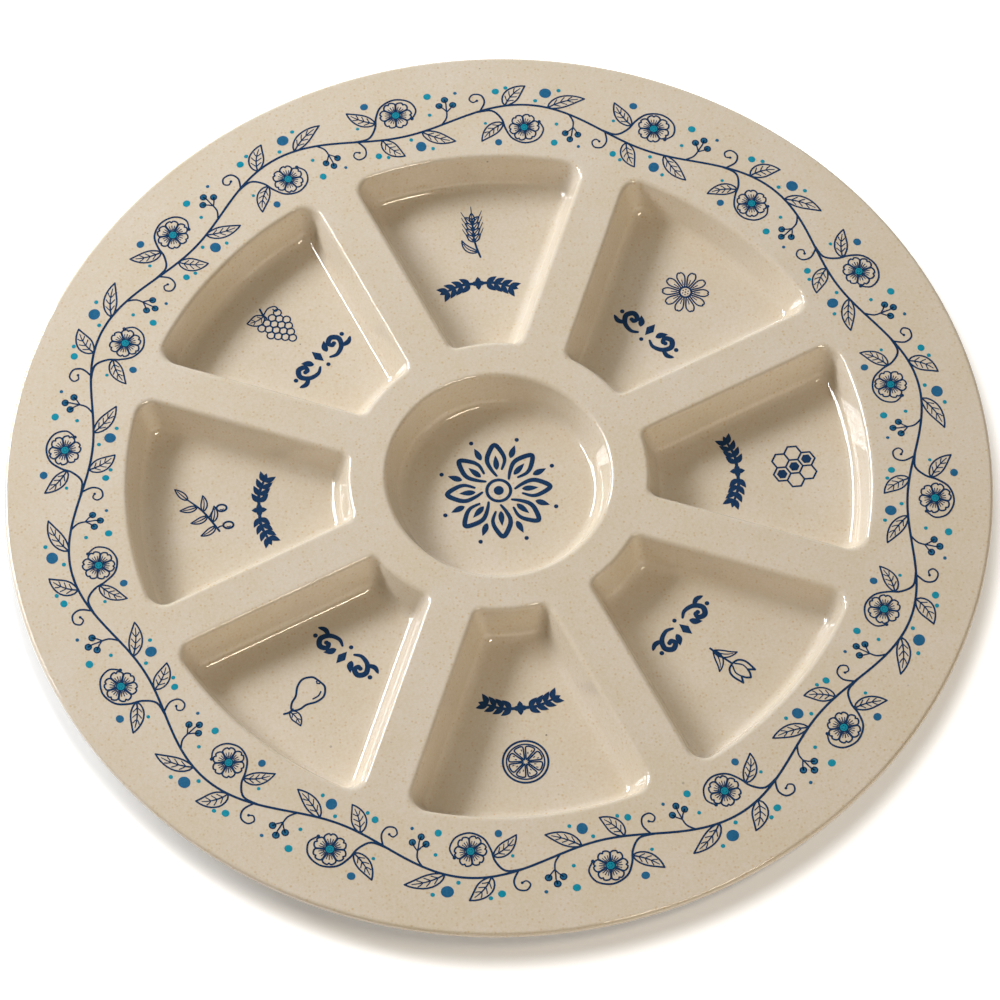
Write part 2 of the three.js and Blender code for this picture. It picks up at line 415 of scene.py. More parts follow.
@dataclass
class PlateShell:
    """The one-piece moulded shell: an eighth of it is meshed, and the rest is that eighth repeated."""

    radius: float
    height: float
    wall: float = 2.8
    draft: float = math.radians(20)
    edge_round: float = 1.3
    lip_round: float = 2.0
    root_round: float = 1.2
    floor_fillet: float = 4.0
    centre_radius: float = 37.7
    guard: float = 0.4
    weld: float = 0.02
    rim_flats: int = 40
    centre_flats: int = 20
    edge_flats: int = 7
    face_flats: tuple[int, int] = (8, 12)
    under_flats: tuple[int, int] = (4, 9)

    @property
    def wedge(self) -> Wedge:
        """Outline of the wells round the middle."""
        return Wedge((self.height - self.wall) * math.tan(self.draft))

    @property
    def eighth_span(self) -> tuple[float, float]:
        """Angles of the spokes on the right and on the left of the eighth on +Y."""
        return math.pi / 2 - PITCH / 2, math.pi / 2 + PITCH / 2

    def face_bend(self) -> Bend:
        """The food side of a well's wall."""
        rounds = (self.lip_round, self.floor_fillet)
        return Bend(self.height, self.wall, self.draft, 0, *rounds, *self.face_flats)

    def under_bend(self) -> Bend:
        """The underside of a well's wall, one wall further out."""
        run = self.wall / math.cos(self.draft)
        retreat = run - self.wall * math.tan(self.draft)
        rounds = (self.root_round, self.floor_fillet + self.wall)
        return Bend(self.height - self.wall, 0, self.draft, -retreat, *rounds, *self.under_flats)

    def guarded(self, bend: Bend) -> list[tuple[float, float]]:
        """Levels of a bend with a flat guard ring at each end, which keeps the flats' shading flat."""
        levels = bend.levels()
        (first, top), (last, floor) = levels[0], levels[-1]
        return [(first - self.guard, top), *levels, (last + self.guard, floor)]

    def side(self, part: Surface, bend: Bend, skin: float, up: bool) -> list[int]:
        """Adds the face or the underside of one eighth of the shell.

        Args:
            part: The surface to add to.
            bend: The wall's levels on this side.
            skin: How much further out than the food side's wall this side lies.
            up: Whether this side faces up.

        Returns:
            Indices of the points along the rim, where the side ends.
        """
        span = self.eighth_span
        levels = self.guarded(bend)
        wells = [part.ring(self.wedge.outline(i, skin), z) for i, z in levels]
        part.wall(wells, True, up)
        floor = self.wedge.outline(levels[-1][0], skin)
        part.fill([wells[-1]], lambda x, y: within(x, y, floor), up)
        middle = [
            part.ring(arc((0, 0), self.centre_radius - i, *span, self.centre_flats), z)
            for i, z in levels
        ]
        part.wall(middle, False, up)
        hub = part.ring([(0, 0)], levels[-1][1])[0]
        for a, b in zip(middle[-1], middle[-1][1:]):
            part.faces.append((hub, a, b) if up else (hub, b, a))
        rim_start = self.radius - self.edge_round - self.guard
        rim = part.ring(arc((0, 0), rim_start, *span, self.rim_flats), levels[0][1])
        border = [*middle[0], *reversed(rim)]
        outside = [part.spots[i][:2] for i in border]
        hole = self.wedge.outline(levels[0][0], skin)
        part.fill(
            [border, wells[0]],
            lambda x, y: within(x, y, outside) and not within(x, y, hole),
            up,
        )
        return rim

    def edge(self, part: Surface, face_rim: list[int], under_rim: list[int]) -> None:
        """Rounds the rim's edge from the face over to the underside."""
        centre, top, low = self.radius - self.edge_round, self.height, self.height - self.wall
        over = arc((centre, top - self.edge_round), self.edge_round, math.pi / 2, 0, self.edge_flats)
        under = arc((centre, low + self.edge_round), self.edge_round, 0, -math.pi / 2, self.edge_flats)
        rings = [
            part.ring(arc((0, 0), r, *self.eighth_span, self.rim_flats), z)
            for r, z in [*over, *under]
        ]
        part.wall([face_rim, *rings, under_rim], False, False)

    def eighth(self) -> bpy.types.Mesh:
        """One eighth of the shell, open along the two spokes that it shares with its neighbours."""
        part = Surface()
        face_rim = self.side(part, self.face_bend(), 0, True)
        under_rim = self.side(part, self.under_bend(), self.wall / math.cos(self.draft), False)
        self.edge(part, face_rim, under_rim)
        return part.mesh("shell_eighth")

    def build(self, material: bpy.types.Material) -> bpy.types.Object:
        """The whole shell, which stands for the CAD body."""
        repeat = RoundRepeat(WELLS, self.weld, True)
        piece = repeat.apply("plate_shell", self.eighth(), material)
        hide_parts("plate_body")
        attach(piece, ROOT)
        return piece


class Tint(Enum):
    """Inks of the print."""

    NAVY = "navy"
    BLUE = "blue"
    TURQUOISE = "turquoise"


def crosses(a: Point, c: Point, b: Point, d: Point) -> bool:
    """Whether the sides a to c and b to d of a stroke run in opposite ways, as in a tight bend."""
    return (c[0] - a[0]) * (d[0] - b[0]) + (c[1] - a[1]) * (d[1] - b[1]) < 0


def beside(before: Point, here: Point, after: Point, width: float) -> tuple[Point, Point]:
    """The points on the left and on the right of a drawn line's middle.

    Args:
        before: The line's point before this one.
        here: This point.
        after: The line's next point.
        width: The line's width here.

    Returns:
        Both points.
    """
    along, up = after[0] - before[0], after[1] - before[1]
    scale = width / 2 / (math.hypot(along, up) or 1.0)
    left = (here[0] - up * scale, here[1] + along * scale)
    return left, (here[0] + up * scale, here[1] - along * scale)


def even(width: float) -> Widths:
    """Widths of a line that stays as wide all along."""
    return width, width, width


def bulge(t: float, early: float, full: float) -> float:
    """How wide a leaf is at a share of its length, against its widest.

    Args:
        t: The share of its length.
        early: Below 1 where the leaf is widest before its middle.
        full: Below 1 where its sides are fuller than a sine's.

    Returns:
        The width, from 0 to 1.
    """
    return math.sin(math.pi * t**early) ** full


@dataclass
class Drawing:
    """Flat figures in millimetres, gathered by ink. Up to its fine end a line needs no round end."""

    figures: dict[Tint, list[Loop]] = field(default_factory=dict)
    fine_end: float = 0.36

    def fill(self, loop: Loop, tint: Tint = Tint.NAVY) -> None:
        """Adds a filled figure, walked anticlockwise."""
        area = sum(a[0] * b[1] - b[0] * a[1] for a, b in zip(loop, [*loop[1:], loop[0]]))
        if abs(area) > LEAST_AREA:
            self.figures.setdefault(tint, []).append(loop if area > 0 else loop[::-1])

    def disc(self, centre: Point, across: float, tint: Tint = Tint.NAVY) -> None:
        """Adds a round dot."""
        self.fill(circle(centre, across / 2, 6 + 2 * round(3.5 * across)), tint)

    def line(self, points: Loop, widths: Widths, tint: Tint = Tint.NAVY) -> None:
        """Adds a drawn line, with round ends where it isn't fine there.

        Args:
            points: The line's middle.
            widths: Its width at the start, in the middle and at the end.
            tint: Its ink.
        """
        last = len(points) - 1
        start, middle, end = widths
        sides = []
        for i, point in enumerate(points):
            t = i / last
            width = start * (1 - t) * (1 - 2 * t) + 4 * middle * t * (1 - t) + end * t * (2 * t - 1)
            sides.append(beside(points[max(i - 1, 0)], point, points[min(i + 1, last)], width))
        self.band(sides, tint)
        for point, width in ((points[0], start), (points[-1], end)):
            if width > self.fine_end:
                self.disc(point, width, tint)

    def band(self, sides: list[tuple[Point, Point]], tint: Tint) -> None:
        """Fills a line between the points on its left and those on its right."""
        for (a, b), (c, d) in zip(sides, sides[1:]):
            if crosses(a, c, b, d):
                self.fill([a, b, d], tint)
                self.fill([a, d, c], tint)
            else:
                self.fill([a, b, d, c], tint)

    def loop(self, points: Loop, width: float, tint: Tint = Tint.NAVY) -> None:
        """Adds the drawn outline of a closed figure."""
        around = zip([points[-1], *points[:-1]], points, [*points[1:], points[0]])
        sides = [beside(before, here, after, width) for before, here, after in around]
        self.band([*sides, sides[0]], tint)

    def stamp(
        self,
        other: "Drawing",
        shift: Point = (0, 0),
        turn: float = 0,
        flip: bool = False,
        scale: float = 1,
    ) -> None:
        """Adds another drawing.

        Args:
            other: The drawing.
            shift: Where its origin goes.
            turn: How far it is turned first.
            flip: Whether it is mirrored across its X axis before that.
            scale: How much it is enlarged.
        """
        for tint, figures in other.figures.items():
            for figure in figures:
                way = [(x * scale, (-y if flip else y) * scale) for x, y in figure]
                self.fill(moved(turned(way, turn), shift), tint)

    def fan(self, other: "Drawing", count: int, centre: Point = (0, 0), first: float = 0.0) -> None:
        """Stamps a drawing evenly round a point.

        Args:
            other: The drawing.
            count: How often.
            centre: The point.
            first: How far the first one is turned, as a share of a step.
        """
        for i in range(count):
            self.stamp(other, centre, 2 * math.pi / count * (i + first))

    @classmethod
    def leaf(cls, length: float, width: float, bow: float, line: float, veins: int) -> "Drawing":
        """An outlined leaf along +X from the origin, with a midrib and side veins.

        Args:
            length: Base to tip.
            width: Widest.
            bow: How far the midrib bows to the left at its middle.
            line: Width of the outline.
            veins: How many pairs of side veins.

        Returns:
            The leaf.
        """
        def rib(t: float) -> Point:
            """A point of the midrib."""
            return length * t, 4 * bow * t * (1 - t)

        def side(t: float, way: float) -> Point:
            """A point beside the midrib, on the outline where way is 1 or -1."""
            x, y = rib(t)
            half = width / 2 * bulge(t, 0.8, 0.9)
            slope = math.atan2(4 * bow * (1 - 2 * t), length)
            return x - way * half * math.sin(slope), y + way * half * math.cos(slope)

        made = cls()
        steps = [i / 10 for i in range(11)]
        for way in (1, -1):
            made.line([side(t, way) for t in steps], even(line))
        made.line([rib(t * 0.84) for t in steps[::2]], (line, line * 0.8, line * 0.5))
        for i in range(veins):
            t = 0.18 + 0.38 * i / max(veins - 1, 1)
            for way in (1, -1):
                vein = [rib(t), side(t + 0.08, way * 0.4), side(t + 0.15, way * 0.72)]
                made.line(vein, even(line * 0.62))
        return made

    @classmethod
    def blade(cls, start: float, end: float, width: float, bow: float = 0.0) -> "Drawing":
        """A filled leaf along +X.

        Args:
            start: Where it begins on the X axis.
            end: Where it ends.
            width: Widest.
            bow: How far it bows to the left at its middle.

        Returns:
            The leaf.
        """
        left, right = [], []
        for i in range(13):
            t = i / 12
            half = width / 2 * bulge(t, 0.75, 0.95)
            x, y = start + (end - start) * t, 4 * bow * t * (1 - t)
            left.append((x, y + half))
            right.append((x, y - half))
        made = cls()
        made.fill([*right, *left[-2:0:-1]])
        return made

    @classmethod
    def petal(cls, start: float, end: float, width: float, line: float, notch: float) -> "Drawing":
        """An outlined petal along +X, broad near its tip.

        Args:
            start: Distance of its base from the origin.
            end: Distance of its tip.
            width: Widest.
            line: Width of the outline.
            notch: How deep the tip is notched.

        Returns:
            The petal.
        """
        long = end - start
        half = [
            (start, 0.12 * width),
            (start + 0.35 * long, 0.36 * width),
            (start + 0.68 * long, 0.5 * width),
            (start + 0.92 * long, 0.34 * width),
            (end, 0.12 * width),
            (end - notch, 0.0),
        ]
        made = cls()
        made.line(smooth(mirrored(half), 2), even(line))
        return made


@dataclass(frozen=True)
class InkLayer:
    """Turns drawings into thin closed solids that stand a little proud of the surface they lie on."""

    ground: float
    proud: float = 0.05
    sunk: float = 0.03
    snap: float = 1e-4

    def on_seam(self, a: Vector, b: Vector, seams: list[tuple[Point, Point]]) -> bool:
        """Whether an edge lies on one of the seams, where the next repeat goes on."""
        for start, end in seams:
            first, along = Vector(start), (Vector(end) - Vector(start)).normalized()
            if all(abs(along.cross(p - first)) < self.snap for p in (a, b)):
                return True
        return False

    def mesh(
        self,
        name: str,
        figures: list[Loop],
        place: Callable[[float, float], Point],
        frame_loop: Loop,
        seams: list[tuple[Point, Point]],
    ) -> bpy.types.Mesh:
        """Joins overlapping figures into one outline and gives it its thickness.

        Args:
            name: Name of the mesh.
            figures: Filled figures, anticlockwise.
            place: Says where on the plate a point of the drawing lies.
            frame_loop: The drawing's frame, anticlockwise: what lies outside is cut off.
            seams: Sides of the frame along which the solid stays open for the next repeat.

        Returns:
            The mesh, in metres.
        """
        corners = [Vector(p) for loop in (frame_loop, *figures) for p in loop]
        faces, first = [], 0
        for loop in (frame_loop, *figures):
            faces.append(list(range(first, first + len(loop))))
            first += len(loop)
        points, _, triangles, _, _, sources = delaunay_2d_cdt(corners, [], faces, 0, self.snap)
        kept = [t for t, source in zip(triangles, sources) if 0 in source and len(source) > 1]
        part = Surface()
        index: dict[int, tuple[int, int]] = {}
        for i in sorted({i for triangle in kept for i in triangle}):
            spot = place(*points[i])
            top = part.ring([spot], self.ground + self.proud)[0]
            index[i] = (top, part.ring([spot], self.ground - self.sunk)[0])
        sides = {(t[i], t[i - 2]) for t in kept for i in range(3)}
        for a, b, c in kept:
            part.faces.append((index[a][0], index[b][0], index[c][0]))
            part.faces.append((index[c][1], index[b][1], index[a][1]))
        for a, b in sides:
            if (b, a) not in sides and not self.on_seam(points[a], points[b], seams):
                part.faces.append((index[b][0], index[a][0], index[a][1], index[b][1]))
        return part.mesh(name)


@dataclass(frozen=True)
class PrintPiece:
    """A print's name and the CAD foil that it stands for."""

    name: str
    node: str

    def settle(self, piece: bpy.types.Object) -> bpy.types.Object:
        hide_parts(self.node)
        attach(piece, ROOT)
        return piece


@dataclass(frozen=True)
class RimPrint:
    """Vine scroll on the rim: each half wave arches to the other side of the last one."""

    ground: float
    middle: float = 141.0
    repeats: int = 10
    reach: float = 13.5
    swing: float = 4.6
    stem: float = 0.8
    line: float = 0.58

    @property
    def half_wave(self) -> float:
        """Length of half a wave along the middle of the band."""
        return math.pi * self.middle / self.repeats

    def spine(self, u: float) -> Point:
        """The vine's stem at a distance along the band."""
        return u, self.swing * math.sin(math.pi * u / self.half_wave)

    def rosette(self) -> Drawing:
        """A flower seen from the front, with six notched petals round a turquoise eye."""
        made, petal = Drawing(), Drawing.petal(1.4, 5.3, 4.2, self.line, 0.5)
        petal.line([(1.8, 0), (3.7, 0.0)], even(0.34))
        for way in (1, -1):
            petal.line([(1.8, 0.3 * way), (2.8, 0.75 * way), (3.5, 0.95 * way)], even(0.3))
        for i in range(6):
            made.stamp(petal, turn=math.pi / 3 * i)
            made.disc(polar(0.65, math.pi / 3 * i), 0.36)
        made.disc((0, 0), 2.8, Tint.TURQUOISE)
        made.loop(circle((0, 0), 1.5, 18), 0.42)
        return made

    def leaf_at(self, made: Drawing, base: Point, tip: Point, width: float, bow: float) -> None:
        """Stamps an outlined leaf between two points."""
        leaf = Drawing.leaf(math.dist(base, tip), width, bow, self.line, 3)
        made.stamp(leaf, base, math.atan2(tip[1] - base[1], tip[0] - base[0]))

    def berries(self, made: Drawing) -> None:
        """Adds a twig of three berries."""
        fork, end = (38.95, -2.6), (38.9, -4.2)
        made.line(smooth([self.spine(36.5), (38.6, -0.4), (38.9, -4.4)], 4), (0.65, 0.58, 0.5))
        for root, berry in ((fork, (36.6, -5.4)), (end, (38.7, -7.6)), (fork, (41.2, -5.2))):
            bend = ((root[0] + berry[0]) / 2 + 0.2, (root[1] + berry[1]) / 2)
            made.line([root, bend, berry], even(0.48))
            made.disc(berry, 1.9, Tint.BLUE)
            made.loop(circle(berry, 1.05, 12), 0.4)

    def dots(self, made: Drawing) -> None:
        """Scatters dots round the half wave."""
        for spot, across, tint in (
            ((11.3, 9.8), 2.4, Tint.TURQUOISE),
            ((14.6, 11.3), 1.4, Tint.TURQUOISE),
            ((27.6, 9.9), 3.9, Tint.BLUE),
            ((31.8, 11.5), 1.4, Tint.TURQUOISE),
            ((24.6, 6.5), 1.4, Tint.TURQUOISE),
            ((32.9, -2.2), 1.3, Tint.TURQUOISE),
            ((33.2, -9.8), 2.5, Tint.TURQUOISE),
            ((12.4, -11.0), 2.6, Tint.BLUE),
            ((7.7, -3.2), 1.2, Tint.TURQUOISE),
            ((42.4, -9.9), 1.2, Tint.BLUE),
        ):
            made.disc(spot, across, tint)

    def half(self) -> Drawing:
        """Half a wave, arched outward, from one crossing of the middle line to the next."""
        made = Drawing()
        flats = 26
        stem = [self.spine(self.half_wave * i / flats) for i in range(-1, flats + 2)]
        made.line(stem, even(self.stem))
        scroll = [
            self.spine(4.5), (10.0, 1.9), (13.4, -1.4), (14.9, -5.4), (17.6, -9.3),
            (22.4, -10.9), (27.0, -9.0), (28.6, -5.0), (26.7, -1.9),
        ]
        made.line(smooth(scroll, 5), (0.75, 0.68, 0.55))
        made.disc((26.7, -1.9), 1.2)
        made.stamp(self.rosette(), (21.6, -4.6), 0.2)
        self.leaf_at(made, self.spine(14.5), (20.8, 12.3), 5.0, 0.9)
        self.leaf_at(made, self.spine(29.0), (40.6, 9.6), 4.4, 0.8)
        self.leaf_at(made, (14.2, -3.2), (6.2, -10.4), 4.3, -0.8)
        self.berries(made)
        curl = [
            self.spine(6.0), (7.6, 5.4), (6.6, 8.3), (3.9, 8.8), (2.6, 7.0), (3.7, 5.6), (5.1, 6.2),
        ]
        made.line(smooth(curl, 4), (0.65, 0.58, 0.48))
        made.disc((5.1, 6.2), 0.95)
        self.dots(made)
        return made

    def wave(self) -> Drawing:
        """One whole wave."""
        made, half = Drawing(), self.half()
        made.stamp(half)
        made.stamp(half, (self.half_wave, 0), flip=True)
        return made

    def place(self, u: float, v: float) -> Point:
        """Bends the band round the rim, its top side out."""
        return polar(self.middle + v, math.pi / 2 - u / self.middle)

    def build(self, finishes: dict[Tint, bpy.types.Material]) -> list[bpy.types.Object]:
        """The whole border, one piece for each ink."""
        wave = self.wave()
        cut = rectangle((0, -self.reach), (2 * self.half_wave, self.reach))
        seams = [(cut[0], cut[3]), (cut[1], cut[2])]
        made = []
        for tint, figures in wave.figures.items():
            piece = PrintPiece(f"rim_print_{tint.value}", "rim_decal")
            mesh = InkLayer(self.ground).mesh(piece.name, figures, self.place, cut, seams)
            repeat = RoundRepeat(self.repeats, INK_WELD, False)
            made.append(piece.settle(repeat.apply(piece.name, mesh, finishes[tint])))
        return made


class Figure(Enum):
    """Figures in the wedge wells, from the first well on."""

    WHEAT = "wheat"
    GRAPES = "grapes"
    OLIVES = "olives"
    PEAR = "pear"
    CITRUS = "citrus"
    TULIP = "tulip"
    HONEYCOMB = "honeycomb"
    DAISY = "daisy"


class Garland(Enum):
    """Bold ornaments below the figures."""

    LAUREL = "laurel"
    SCROLLS = "scrolls"


@dataclass(frozen=True)
class WellPrint:
    """A figure and a garland on the floor of a wedge well, upright with the plate's axis below."""

    ground: float
    figure: Figure
    garland: Garland
    figure_radius: float = 100.0
    figure_scale: float = 1.2
    garland_radius: float = 79.5
    line: float = 0.6
    fine: float = 0.44
    frame: tuple[Point, Point] = ((-30, 50), (30, 120))

    def leafy(self, length: float, width: float, bow: float, veins: int = 0) -> Drawing:
        """A fine outlined leaf along +X."""
        return Drawing.leaf(length, width, bow, self.fine, veins)

    def wheat(self) -> Drawing:
        """An ear of wheat."""
        made = Drawing()
        stem = smooth([(1.4, -7.4), (0.5, -4.0), (0.0, -0.5), (0.0, 4.0)], 5)
        made.line(stem, (self.line, self.line, self.fine))
        for i in range(4):
            for way in (1, -1):
                grain = self.leafy(3.1, 1.6, 0.25)
                grain.line([(3.1, 0), (4.1, 0.15), (5.3, 0.45)], (0.3, 0.26, 0.2))
                made.stamp(grain, (0.14 * way, -2.2 + 1.95 * i), math.pi / 2 - way * 0.66, way < 0)
        top = self.leafy(3.1, 1.5, 0)
        top.line([(3.1, 0), (4.2, 0), (5.4, 0)], (0.3, 0.26, 0.2))
        made.stamp(top, (0, 4.3), math.pi / 2)
        made.stamp(self.leafy(6.0, 1.7, 1.1), (0.95, -5.6), 2.4)
        return made

    def grapes(self) -> Drawing:
        """A bunch of grapes under its leaf."""
        made = Drawing()
        for row, count in enumerate((4, 3, 4, 3, 2, 1)):
            for i in range(count):
                berry = ((i - (count - 1) / 2) * 2.25, 2.2 - 1.75 * row)
                made.loop(circle(berry, 1.12, 16), self.fine)
        made.line(smooth([(0, 3.4), (0.2, 5.0), (1.0, 6.8)], 5), even(self.line))
        made.stamp(self.leafy(5.4, 3.4, 0.5, 2), (0.1, 4.4), 2.75)
        curl = [(0.3, 4.7), (2.6, 5.2), (4.4, 4.2), (4.3, 2.9), (3.3, 3.0), (3.4, 3.9)]
        made.line(smooth(curl, 5), even(self.fine))
        return made

    def olives(self) -> Drawing:
        """An olive twig with two fruits."""
        made = Drawing()
        stem = smooth([(-5.6, -4.6), (-2.0, -2.4), (1.6, 0.2), (5.2, 4.0)], 5)
        made.line(stem, (self.line, self.line, self.fine))
        for base, turn, bow in (
            ((-3.9, -3.6), 2.15, 0.4),
            ((-0.6, -1.5), 1.95, 0.4),
            ((2.6, 1.1), 1.75, 0.3),
            ((-2.6, -2.8), -0.15, -0.4),
            ((0.9, -0.3), -0.05, -0.4),
            ((4.9, 3.7), 0.75, 0.0),
        ):
            made.stamp(self.leafy(5.0, 1.75, bow), base, turn)
        for base, (x, y) in (((-4.6, -4.0), (-3.9, -7.2)), ((-1.2, -1.9), (1.6, -5.6))):
            made.line([base, (x - 0.2, y + 2.3), (x - 0.1, y + 1.4)], even(self.fine))
            made.loop([(x + 0.7 * p, y + 0.95 * q) for p, q in circle((0, 0), 1.5, 18)], self.line)
            made.line([(x - 0.45, y + 0.5), (x - 0.55, y - 0.2), (x - 0.3, y - 0.7)], even(0.28))
        return made

    def pear(self) -> Drawing:
        """A pear with a leaf."""
        made = Drawing()
        half = [(0.5, 4.4), (1.5, 2.9), (2.0, 0.8), (3.5, -1.6), (3.9, -4.2), (2.3, -6.4), (0.4, -6.7)]
        whole = [*half, *[(-x, y) for x, y in reversed(half)]]
        made.loop(smooth(whole, 5, closed=True), self.line)
        made.line(smooth([(0, 4.3), (0.1, 5.6), (0.9, 6.9)], 4), (self.line, self.line, 0.62))
        made.stamp(self.leafy(5.2, 2.6, 0.5, 2), (0.2, 5.4), 2.9)
        made.line(smooth([(-2.4, -4.6), (-2.7, -3.2), (-2.2, -1.6)], 4), even(self.fine))
        made.line([(-0.5, -6.2), (0, -5.8), (0.5, -6.2)], even(self.fine))
        return made

    def citrus(self) -> Drawing:
        """A round slice of a citrus fruit."""
        made, segment = Drawing(), Drawing()
        made.loop(circle((0, 0), 6.2, 48), self.line)
        made.loop(circle((0, 0), 5.2, 44), self.fine)
        half = [(0.9, 0.12), (2.6, 0.78), (4.1, 1.28), (4.6, 0.75), (4.65, 0.0)]
        segment.loop(smooth(mirrored(half), 4, closed=True), self.fine)
        segment.line([(2.4, 0.1), (2.7, 0.2), (3.0, 0.25)], even(0.28))
        segment.line([(3.2, -0.5), (3.5, -0.55), (3.8, -0.55)], even(0.28))
        made.fan(segment, 8, first=0.5)
        return made

    def tulip(self) -> Drawing:
        """A tulip with two leaves."""
        made = Drawing()
        made.line(smooth([(0.3, -7.2), (0.2, -3.4), (0, 0.4)], 5), even(self.line))
        for way in (1, -1):
            for knots, width in (
                ([(0, 0.3), (1.9, 0.9), (2.9, 2.9), (2.6, 6.3)], self.line),
                ([(2.6, 6.3), (1.95, 5.45), (1.35, 4.7)], self.line),
                ([(1.35, 4.7), (0.85, 5.9), (0, 6.9)], self.line),
                ([(1.35, 4.7), (1.55, 2.8), (0.5, 0.9)], self.fine),
            ):
                made.line(smooth(on_side(knots, way), 5), even(width))
            made.stamp(self.leafy(6.6, 2.1, 0.9 * way), (0.25, -6.2), math.pi / 2 - 0.62 * way)
        return made

    def honeycomb(self) -> Drawing:
        """Cells of a honeycomb, some of them full."""
        def hexagon(middle: Point, radius: float) -> Loop:
            """The six corners of a cell, upright."""
            return arc(middle, radius, math.pi / 6, math.pi * 13 / 6, 6)[:-1]

        made = Drawing()
        pitch = 4.2
        for i, j in ((0, 0), (1, 0), (-1, 0), (0, 1), (0, -1), (1, -1), (-1, 1)):
            cell = (pitch * (i + j / 2), pitch * j * math.sqrt(3) / 2)
            made.loop(hexagon(cell, pitch / math.sqrt(3)), self.line)
            if i + j == 0:
                made.fill(hexagon(cell, pitch * 0.36))
        return made

    def daisy(self) -> Drawing:
        """A daisy seen from the front."""
        made, petal = Drawing(), Drawing.petal(1.9, 6.6, 2.3, self.fine, 0.25)
        petal.line([(2.4, 0), (3.3, 0), (4.2, 0)], even(0.28))
        made.fan(petal, 10)
        made.loop(circle((0, 0), 1.7, 24), self.line)
        for i in range(6):
            made.disc(polar(0.85, math.pi / 3 * i), 0.42)
        made.disc((0, 0), 0.5)
        return made

    def laurel(self) -> Drawing:
        """A bold garland of filled leaves, bowed round the centre of the plate."""
        made = Drawing()
        for way in (1, -1):
            stem = on_side([(1.6, 1.2), (6.0, 0.9), (10.6, -0.9)], way)
            made.line(smooth(stem, 5), (1.1, 1.1, 0.8))
            base = 0 if way > 0 else math.pi
            for i in range(4):
                x = 3.0 + 2.5 * i
                for edge in (1, -1):
                    leaf = Drawing.blade(0, 4.3, 2.0, 0.2 * edge)
                    tilt = (-0.045 * x + 0.72 * edge) * way
                    made.stamp(leaf, (x * way, 1.25 - 0.022 * x * x), base + tilt, way < 0)
            made.stamp(Drawing.blade(0, 3.5, 1.95), (10.4 * way, -0.8), base - 0.4 * way)
        made.fan(Drawing.blade(0, 2.6, 1.9), 4, (0, 1.2))
        return made

    def scrolls(self) -> Drawing:
        """A bold pair of scrolls round a lozenge."""
        made = Drawing()
        hook = [
            (2.6, -2.2), (4.9, -3.3), (8.2, -2.3), (9.9, 0.4),
            (8.4, 2.6), (6.2, 1.9), (6.4, 0.2), (7.4, 0.3),
        ]
        tail = [(8.6, -2.2), (10.8, -3.0), (12.9, -2.2)]
        for way in (1, -1):
            made.line(smooth(on_side(hook, way)), (0.8, 1.9, 1.0))
            made.line(smooth(on_side(tail, way)), (0.9, 1.7, 0.6))
            made.disc((7.4 * way, 0.35), 1.6)
            made.disc((11.9 * way, 0.7), 1.6)
            turn = (0 if way > 0 else math.pi) + 0.95 * way
            made.stamp(Drawing.blade(0, 4.5, 2.2, 0.3), (3.3 * way, 0.0), turn, way < 0)
        made.fill([(0, 4.0), (-1.5, 1.2), (0, -1.6), (1.5, 1.2)])
        made.disc((0, -3.6), 1.5)
        return made

    def drawing(self) -> Drawing:
        """The well's whole print."""
        figures = {
            Figure.WHEAT: self.wheat,
            Figure.GRAPES: self.grapes,
            Figure.OLIVES: self.olives,
            Figure.PEAR: self.pear,
            Figure.CITRUS: self.citrus,
            Figure.TULIP: self.tulip,
            Figure.HONEYCOMB: self.honeycomb,
            Figure.DAISY: self.daisy,
        }
        garlands = {Garland.LAUREL: self.laurel, Garland.SCROLLS: self.scrolls}
        made = Drawing()
        made.stamp(figures[self.figure](), (0, self.figure_radius), scale=self.figure_scale)
        made.stamp(garlands[self.garland](), (0, self.garland_radius))
        return made

    def build(self, well: int, material: bpy.types.Material) -> bpy.types.Object:
        """The print of one well, which are counted anticlockwise from 1 on +Y."""
        def place(x: float, y: float) -> Point:
            """Turns the drawing to its well."""
            return turned([(x, y)], (well - 1) * PITCH)[0]

        piece = PrintPiece(f"well_print_{well}", f"well_decal_{well}")
        figures = self.drawing().figures[Tint.NAVY]
        mesh = InkLayer(self.ground).mesh(piece.name, figures, place, rectangle(*self.frame), [])
        return piece.settle(RoundRepeat(1, INK_WELD, False).apply(piece.name, mesh, material))


@dataclass(frozen=True)
class CentrePrint:
    """Bold rosette on the floor of the centre well: a ring of eight petals and a hub."""

    ground: float
    petal_reach: float = 17.4
    ring_radius: float = 4.0
    frame_reach: float = 24.0

    def petal(self) -> Drawing:
        """A petal along +X with a drop inside it, and the drop and dot beside it."""
        made, between = Drawing(), Drawing.blade(12.9, 18.0, 2.1)
        between.disc((20.2, 0), 1.5)
        half = [(5.6, 0.25), (8.0, 1.75), (11.2, 2.95), (14.2, 2.3), (self.petal_reach, 0.0)]
        made.line(smooth(mirrored(half)[:-1]), (0.8, 1.7, 0.8))
        made.stamp(Drawing.blade(7.8, 13.4, 2.0))
        made.stamp(between, turn=PITCH / 2)
        return made

    def hub(self) -> Drawing:
        """The ring and the dot in the middle."""
        made = Drawing()
        made.loop(circle((0, 0), self.ring_radius, 40), 1.1)
        made.disc((0, 0), 3.4)
        return made

    def build(self, material: bpy.types.Material) -> list[bpy.types.Object]:
        """The rosette: its petals as one piece and its hub as another."""
        far = self.frame_reach
        cut = rectangle((-far, -far), (far, far))
        made = []
        for name, drawing, count in (
            ("centre_petals", self.petal(), WELLS),
            ("centre_hub", self.hub(), 1),
        ):
            piece = PrintPiece(name, "centre_decal")
            figures = drawing.figures[Tint.NAVY]
            mesh = InkLayer(self.ground).mesh(name, figures, lambda x, y: (x, y), cut, [])
            repeat = RoundRepeat(count, INK_WELD, False)
            made.append(piece.settle(repeat.apply(name, mesh, material)))
        return made


